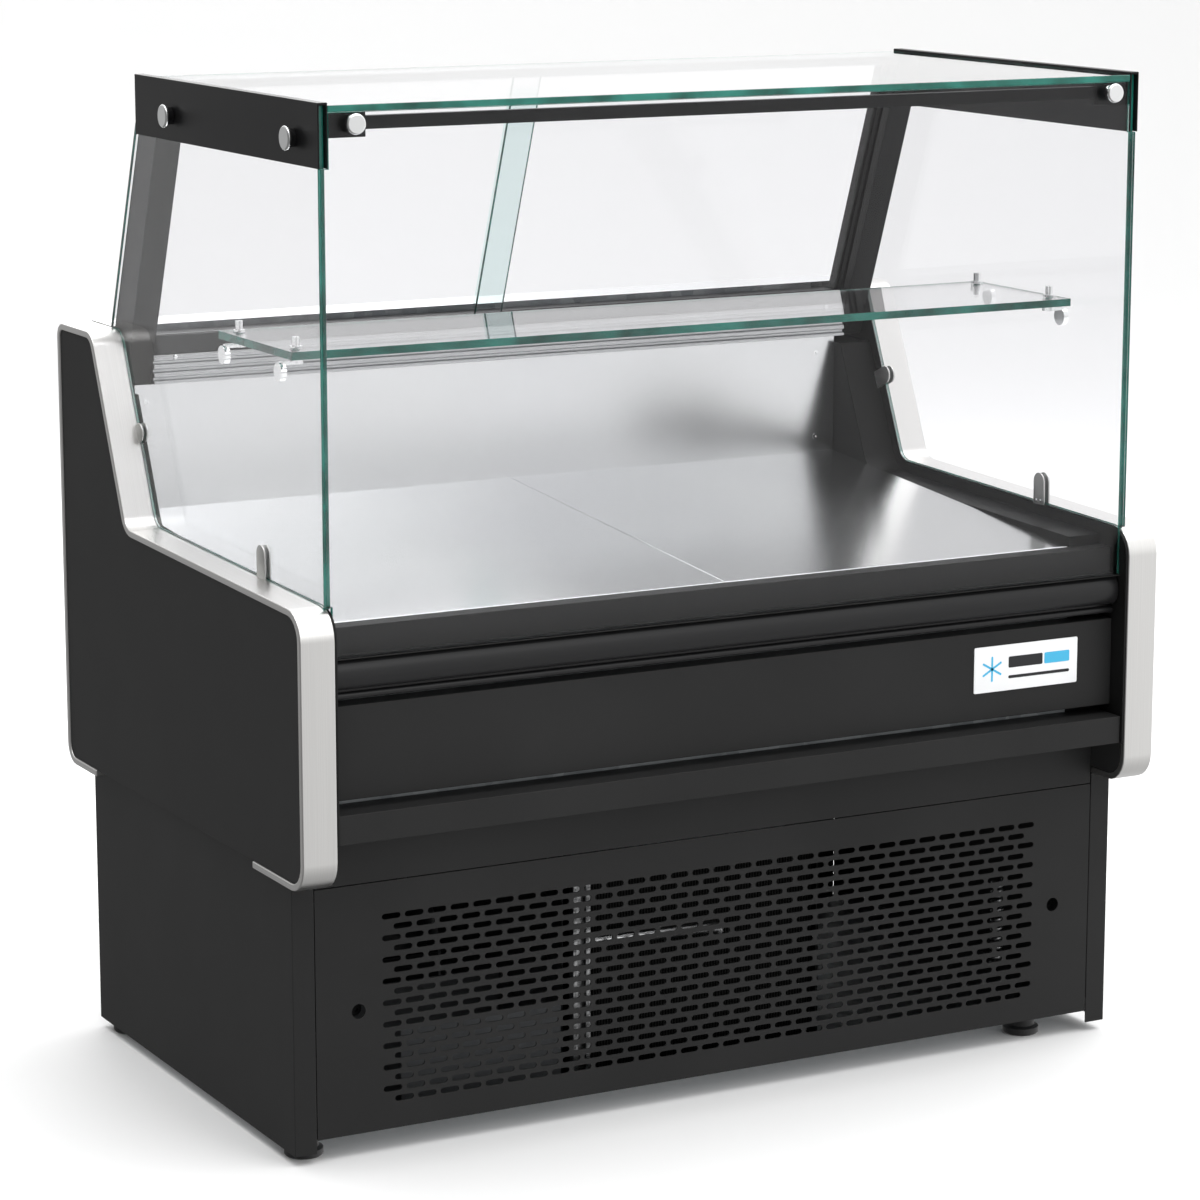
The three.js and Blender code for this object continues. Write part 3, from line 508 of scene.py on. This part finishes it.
# ---- glass: canopy panes, shelf and sliding doors ----
# Clear toughened float glass. The faces are nearly colourless; the ground edges gather the iron green.
clear_glass, glass_tree, glass_surface = material(
    "float_glass_clear", Base_Color=linear("#f9f9fa"), IOR=1.24, Transmission_Weight=1.0)
float_wave = add(glass_tree, "TexNoise", {"Scale": 3.0})
float_rough = add(glass_tree, "MapRange", {"To Min": 0.0, "To Max": 0.004},
                  {"Value": float_wave.outputs["Fac"]})
glass_tree.links.new(float_rough.outputs["Result"], glass_surface.inputs["Roughness"])
ground_edge, edge_tree, edge_surface = material("ground_glass_edge_green", IOR=1.5, Transmission_Weight=0.25)
edge_place = add(edge_tree, "TexCoord")
edge_streaks = add(edge_tree, "TexNoise", {"Scale": 14.0, "Detail": 3.0},
                   {"Vector": edge_place.outputs["Object"]})
edge_tone = add(edge_tree, "ValToRGB", links={"Fac": edge_streaks.outputs["Fac"]})
for stop, position, colour in zip(edge_tone.color_ramp.elements, (0.35, 0.65), ("#0d4a40", "#2c8a7b")):
    stop.position, stop.color = position, linear(colour)
edge_rough = add(edge_tree, "MapRange", {"To Min": 0.1, "To Max": 0.25},
                 {"Value": edge_streaks.outputs["Fac"]})
edge_tree.links.new(edge_tone.outputs["Color"], edge_surface.inputs["Base Color"])
edge_tree.links.new(edge_rough.outputs["Result"], edge_surface.inputs["Roughness"])


GLASS_ARRIS = 0.0007


def pane(node):
    """A glass pane from its node: clear broad faces, green ground edges, painted shade under the front."""
    piece = made_from(node, clear_glass, ground_edge, pvc, width=GLASS_ARRIS, steps=1, sharp=40)
    broad = max(piece.data.polygons, key=lambda face: face.area).normal.copy()
    for face in piece.data.polygons:
        face.material_index = 0 if abs(face.normal.dot(broad)) > 0.999 else 1
        # The front pane's bottom edge takes the black vinyl as painted shade for the shadow line along the
        # sill.
        if node == "front_glass" and face.normal.z < -0.5:
            face.material_index = 2
    piece.data.shade_flat()


for node in ("top_glass", "front_glass", "side_glass_left", "side_glass_right", "shelf", "door_left",
             "door_right"):
    pane(node)

# ---- canopy fittings: side channels, header bar and chrome point fixings ----
# Black coated channels cap the side panes; polished chrome discs clamp the glass through black washers.
for node in ("side_channel_left", "side_channel_right", "header_bar"):
    made_from(node, frame_black, width=0.0007)
for node in ("front_fixing_left", "front_fixing_right", "shelf_clamp_front_left", "shelf_clamp_front_right",
             "shelf_clamp_rear_left", "shelf_clamp_rear_right"):
    made_from(node, polished, width=0.0006, sharp=40)
CAP_THICKNESS = 0.0047
for node in ("side_fixing_front_left", "side_fixing_rear_left", "side_fixing_front_right",
             "side_fixing_rear_right"):
    fixing = made_from(node, polished, frame_black, width=0.0006, sharp=40)
    low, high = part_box(node)
    outer = max(abs(low.x), abs(high.x))
    for face in fixing.data.polygons:
        face.material_index = 0 if abs(face.center.x) > outer - CAP_THICKNESS else 1

# ---- glass clips: twin plates that hold each side pane to the edge strip ----
# Brushed stainless tabs with a round top, one on each side of the glass, riveted through the strip.
CLIP_WIDTH, CLIP_SHEET = 0.025, 0.0024
RIVET = [(0, -0.0006), (0.0019, -0.0006), (0.0019, 0.0002), (0.0014, 0.0008), (0, 0.001)]
CLIP_PLACES = (("slope", 0.2190, 0.8440, math.radians(66)), ("deck", -0.1930, 0.7380, math.radians(-1.4)))
brushed, brushed_tree, brushed_surface = material(
    "brushed_stainless_clip", Metallic=1.0, Base_Color=linear("#d8d8d6"))
brushed_place = add(brushed_tree, "TexCoord")
brushed_run = add(brushed_tree, "Mapping", {"Scale": (900.0, 900.0, 20.0)},
                  {"Vector": brushed_place.outputs["Object"]})
brushed_lines = add(brushed_tree, "TexNoise", {"Scale": 1.0, "Detail": 3.0},
                    {"Vector": brushed_run.outputs["Vector"]})
brushed_rough = add(brushed_tree, "MapRange", {"To Min": 0.38, "To Max": 0.55},
                    {"Value": brushed_lines.outputs["Fac"]})
brushed_tree.links.new(brushed_rough.outputs["Result"], brushed_surface.inputs["Roughness"])


def clip_plate(name, inner_x, depth, height, tilt):
    """One round-topped tab in the Y-Z plane, its foot towards the strip."""
    half = CLIP_WIDTH / 2
    loop = [(-half, -0.018), (half, -0.018)]
    turns = [math.pi * step / 12 for step in range(13)]
    loop += [(half * math.cos(turn), 0.0135 + half * math.sin(turn)) for turn in turns]
    piece = pierced_sheet(name, loop, [], 0.0, CLIP_SHEET, brushed)
    tidy_edges(piece.data, 0.0007, 2, 40)
    piece.data.transform(Matrix.Rotation(math.radians(90), 4, "Z"))
    piece.data.transform(Matrix.Rotation(tilt, 4, "X"))
    piece.data.transform(Matrix.Translation((inner_x + CLIP_SHEET, depth, height)))
    return piece


glass_low, glass_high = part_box("side_glass_right")
for side, sign in (("left", -1), ("right", 1)):
    for place, depth, height, tilt in CLIP_PLACES:
        for layer, near in (("inner", glass_low.x - CLIP_SHEET - 0.0004), ("outer", glass_high.x + 0.0004)):
            x = near if sign > 0 else -near - CLIP_SHEET
            tab = clip_plate(f"glass_clip_{place}_{layer}_{side}", x, depth, height, tilt)
            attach(tab, "case")
            if layer == "inner":
                for number, along in enumerate((-0.005, 0.005)):
                    spot = Matrix.Rotation(tilt, 3, "X") @ Vector((0, along, -0.0125))
                    face = x if sign > 0 else x + CLIP_SHEET
                    rivet_place = (face, depth + spot.y, height + spot.z)
                    rivet = turned(f"clip_rivet_{place}_{side}_{number}", RIVET, rivet_place, (-sign, 0, 0),
                                   polished, steps=12)
                    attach(rivet, "case")

# ---- machine: compressor, coils, shrouds and fans ----
# Black enamelled compressor shell, a zinc sheet shroud, and pressed aluminium fins coloured near-black
# as painted shade, so they show as thin dark ribs.
enamel_black = powder_coat("stoved_enamel_black", "#151617", "#1c1d1f", 0.33)
for node in ("compressor", "fan_motor"):
    made_from(node, enamel_black, width=0.0012)
fins, fins_tree, fins_surface = material("aluminium_fins_painted_shade", Metallic=1.0)
fins_place = add(fins_tree, "TexCoord")
fins_wave = add(fins_tree, "TexWave", {"Scale": 75.0, "bands_direction": "X"},
                {"Vector": fins_place.outputs["Object"]})
# Painted shade: the fin metal is coloured near-black, darkest in the bands that stand for the gaps between
# fins.
fin_painted_shade = add(fins_tree, "ValToRGB", links={"Fac": fins_wave.outputs["Fac"]})
for stop, colour in zip(fin_painted_shade.color_ramp.elements, ("#090909", "#2c2d2c")):
    stop.color = linear(colour)
fins_bump = add(fins_tree, "Bump", {"Strength": 0.6, "Distance": 0.0015},
                {"Height": fins_wave.outputs["Fac"]})
fins_surface.inputs["Roughness"].default_value = 0.42
fins_tree.links.new(fin_painted_shade.outputs["Color"], fins_surface.inputs["Base Color"])
fins_tree.links.new(fins_bump.outputs["Normal"], fins_surface.inputs["Normal"])
for node in ("condenser_coil", "evaporator_coil"):
    made_from(node, fins, width=0.0008)
made_from("fan_shroud", zinc, width=0.001, sharp=40)
made_from("condenser_fan", rolled, width=0.0006, sharp=40)
made_from("evaporator_fan", nylon, width=0.0006, sharp=40)

# ---- condensing unit fittings seen through the slots ----
# A folded aluminium bracket before the coil, a painted tray for melt water, a galvanised runner, a thin
# coiled tube and two pipes. The pipes are drawn tube; the copper one is dulled by handling.
copper, copper_tree, copper_surface = material("drawn_copper_tube_dulled", Metallic=1.0)
copper_marks = add(copper_tree, "TexNoise", {"Scale": 45.0, "Detail": 4.0})
copper_tone = add(copper_tree, "ValToRGB", links={"Fac": copper_marks.outputs["Fac"]})
for stop, colour in zip(copper_tone.color_ramp.elements, ("#8a8078", "#c3bdb6")):
    stop.color = linear(colour)
copper_surface.inputs["Roughness"].default_value = 0.35
copper_tree.links.new(copper_tone.outputs["Color"], copper_surface.inputs["Base Color"])


def folded_sheet(name, outline, base, rise, across, *materials, width=0.0006, body="case"):
    """A closed outline of (u, v) points drawn along an axis: 'Z' for (x, depth), 'X' for (depth, height)."""
    work = bmesh.new()
    spots = [(u, v, base) if across == "Z" else (base, u, v) for u, v in outline]
    work.faces.new([work.verts.new(spot) for spot in spots])
    piece = drawn_solid(name, work, (0, 0, rise) if across == "Z" else (rise, 0, 0), *materials)
    tidy_edges(piece.data, width, 2, 40)
    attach(piece, body)
    return piece


def tube(name, points, radius, *materials, rounding=3):
    """A round tube through the points, closed at both ends."""
    curve = bpy.data.curves.new(name, "CURVE")
    curve.dimensions, curve.bevel_depth, curve.bevel_resolution = "3D", radius, rounding
    curve.use_fill_caps = True
    path = curve.splines.new("POLY")
    path.points.add(len(points) - 1)
    for knot, point in zip(path.points, points):
        knot.co = (*point, 1.0)
    holder = bpy.data.objects.new(name + "_path", curve)
    mesh = bpy.data.meshes.new_from_object(holder)
    bpy.data.objects.remove(holder)
    mesh.materials.clear()
    mesh.shade_smooth()
    piece = linked_object(name, mesh, *materials)
    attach(piece, "case")


tray_grey = powder_coat("painted_tray_grey", "#4e5052", "#5b5d5f", 0.5)
folded_sheet("coil_bracket", [(-0.206, -0.302), (-0.1995, -0.302), (-0.1995, -0.2995), (-0.2035, -0.2995),
                              (-0.2035, -0.2925), (-0.1835, -0.2925), (-0.1835, -0.2995), (-0.1875, -0.2995),
                              (-0.1875, -0.302), (-0.1810, -0.302), (-0.1810, -0.290), (-0.206, -0.290)],
             0.036, 0.268, "Z", rolled)
folded_sheet("melt_tray", [(-0.292, 0.036), (-0.112, 0.036), (-0.112, 0.150), (-0.1145, 0.150),
                           (-0.1145, 0.0385), (-0.2895, 0.0385), (-0.2895, 0.150), (-0.292, 0.150)],
             -0.447, 0.228, "X", tray_grey)
folded_sheet("front_runner", [(-0.3125, 0.0352), (-0.300, 0.0352), (-0.300, 0.0376), (-0.3101, 0.0376),
                              (-0.3101, 0.054), (-0.3125, 0.054)], -0.47, 0.93, "X", zinc)
tube("liquid_line", [(-0.176, -0.296, 0.226), (-0.150, -0.301, 0.2265), (-0.020, -0.301, 0.2235),
                     (0.004, -0.301, 0.2225), (0.010, -0.298, 0.216)], 0.0085, rolled)
COIL_X, COIL_Y, COIL_Z, COIL_RADIUS, COIL_RISE, COIL_STEPS = 0.457, -0.285, 0.104, 0.0075, 0.120, 180
coil_turns = [(COIL_X + COIL_RADIUS * math.cos(t * math.pi / 5),
               COIL_Y + COIL_RADIUS * math.sin(t * math.pi / 5),
               COIL_Z + COIL_RISE * t / COIL_STEPS) for t in range(COIL_STEPS + 1)]
tube("capillary_coil", coil_turns, 0.0019, rolled, rounding=2)
tube("suction_line", [(-0.30, 0.03, 0.225), (-0.30, 0.00, 0.27), (-0.28, -0.02, 0.31), (-0.22, 0.05, 0.335),
                      (0.0, 0.15, 0.345), (0.12, 0.22, 0.352)], 0.0055, copper)

# ---- meeting strip: the soft seal where the two sliding panes pass each other ----
# A thin blue-green tinted clear vinyl sheet stuck to the left door, reaching over the width of the overlap.
vinyl, vinyl_tree, vinyl_surface = material(
    "clear_vinyl_seal", Base_Color=linear("#e9f7f5"), IOR=1.1, Transmission_Weight=1.0)
vinyl_wave = add(vinyl_tree, "TexNoise", {"Scale": 40.0})
vinyl_rough = add(vinyl_tree, "MapRange", {"To Min": 0.02, "To Max": 0.06},
                  {"Value": vinyl_wave.outputs["Fac"]})
vinyl_tree.links.new(vinyl_rough.outputs["Result"], vinyl_surface.inputs["Roughness"])
seal = folded_sheet("meeting_seal", [(-0.057, 0.2135), (-0.013, 0.2135), (-0.013, 0.2141), (-0.057, 0.2141)],
                    0.975, 0.305, "Z", vinyl, width=0.0, body="left_door")
DOOR_SLOPE, SLOPE_HEIGHT = 0.38, 1.155
for vert in seal.data.vertices:
    vert.co.y -= DOOR_SLOPE * (vert.co.z - SLOPE_HEIGHT)

# ---- server's side: outer panel, controller and rocker ----
# Black coated sheet held by small bright screws; a moulded controller with a smoked red window that looks
# nearly black, four dull keys, and a rocker that tips on its cross pin.
made_from("rear_panel", cabinet_black, width=0.0006)
made_from("controller", liner_black, width=0.001, steps=3)
made_from("rocker_switch", nylon, width=0.0008, steps=3)
window, window_tree, window_surface = material(
    "smoked_red_window", Base_Color=linear("#220708"), Coat_Weight=0.6)
window_haze = add(window_tree, "TexNoise", {"Scale": 220.0})
window_rough = add(window_tree, "MapRange", {"To Min": 0.08, "To Max": 0.16},
                   {"Value": window_haze.outputs["Fac"]})
window_tree.links.new(window_rough.outputs["Result"], window_surface.inputs["Roughness"])
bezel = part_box("controller")[1].y
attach(rolled_plate("controller_window", (0.245, bezel + 0.0001, 0.8675), (0.276, bezel + 0.0007, 0.8825),
                     0.001, 0.0002, window), "case")
for index, (x, z) in enumerate(((0.281, 0.869), (0.289, 0.869), (0.281, 0.8765), (0.289, 0.8765))):
    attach(rolled_plate(f"controller_key_{index}", (x, bezel + 0.0001, z),
                         (x + 0.0055, bezel + 0.0011, z + 0.005), 0.0012, 0.0003, nylon), "case")
SHEET_SCREWS = [(x, "rear_panel", z) for x in (-0.55, 0.0, 0.55) for z in (0.40, 0.925)]
SHEET_SCREWS += [(x, "base_back", z) for x in (-0.55, 0.0, 0.55) for z in (0.045, 0.345)]
for index, (x, sheet, z) in enumerate(SHEET_SCREWS):
    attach(turned(f"sheet_screw_{index}", PAN_HEAD, (x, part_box(sheet)[1].y + 0.0001, z), (0, 1, 0),
                   polished, steps=16), "case")
